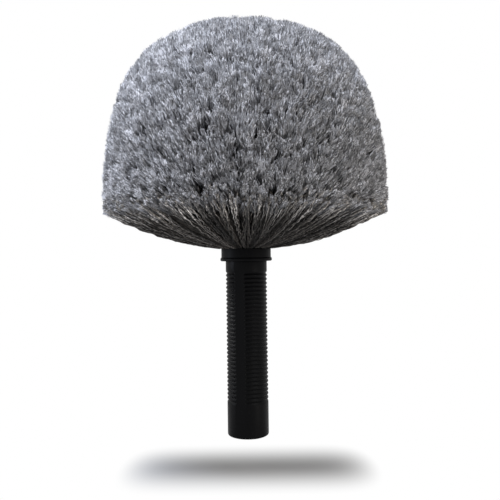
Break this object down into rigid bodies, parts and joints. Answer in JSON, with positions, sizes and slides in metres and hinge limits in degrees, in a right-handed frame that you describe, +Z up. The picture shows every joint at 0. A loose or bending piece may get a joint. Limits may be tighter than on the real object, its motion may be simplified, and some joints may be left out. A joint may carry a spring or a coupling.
{
  "type": "cobweb brush head",
  "caption": "Dome-shaped cobweb brush: grey flagged bristles on a tufted ball, with a black collar and a ribbed handle that screws onto an extension pole.",
  "frame": {"origin": "centre of the pole socket's mouth, at the open end of the handle", "axes": "+Z up the handle's axis to the crown of the bristle dome; +X and +Y across, with the pole leaving along -Z"},
  "size_m": [0.21, 0.2098, 0.3017],
  "materials": {
    "handle_plastic": "satin",
    "collar_plastic": "satin",
    "block_plastic": "matte",
    "bush_plastic": "matte",
    "fixing_steel": "satin",
    "anchor_wire": "satin",
    "bristle": "matte"
  },
  "bodies": {
    "root": {"handle": "handle_plastic", "collar": "collar_plastic", "bristle_block": "block_plastic", "pole_bush": "bush_plastic", "head_screw": "fixing_steel", "screw_washer": "fixing_steel", "crown_tuft": "bristle", "tuft_row_1": "bristle", "tuft_row_2": "bristle", "tuft_row_3": "bristle", "tuft_row_4": "bristle", "tuft_row_5": "bristle", "tuft_row_6": "bristle", "crown_anchor": "anchor_wire", "anchor_row_1": "anchor_wire", "anchor_row_2": "anchor_wire", "anchor_row_3": "anchor_wire", "anchor_row_4": "anchor_wire", "anchor_row_5": "anchor_wire", "anchor_row_6": "anchor_wire"}
  },
  "joints": []
}
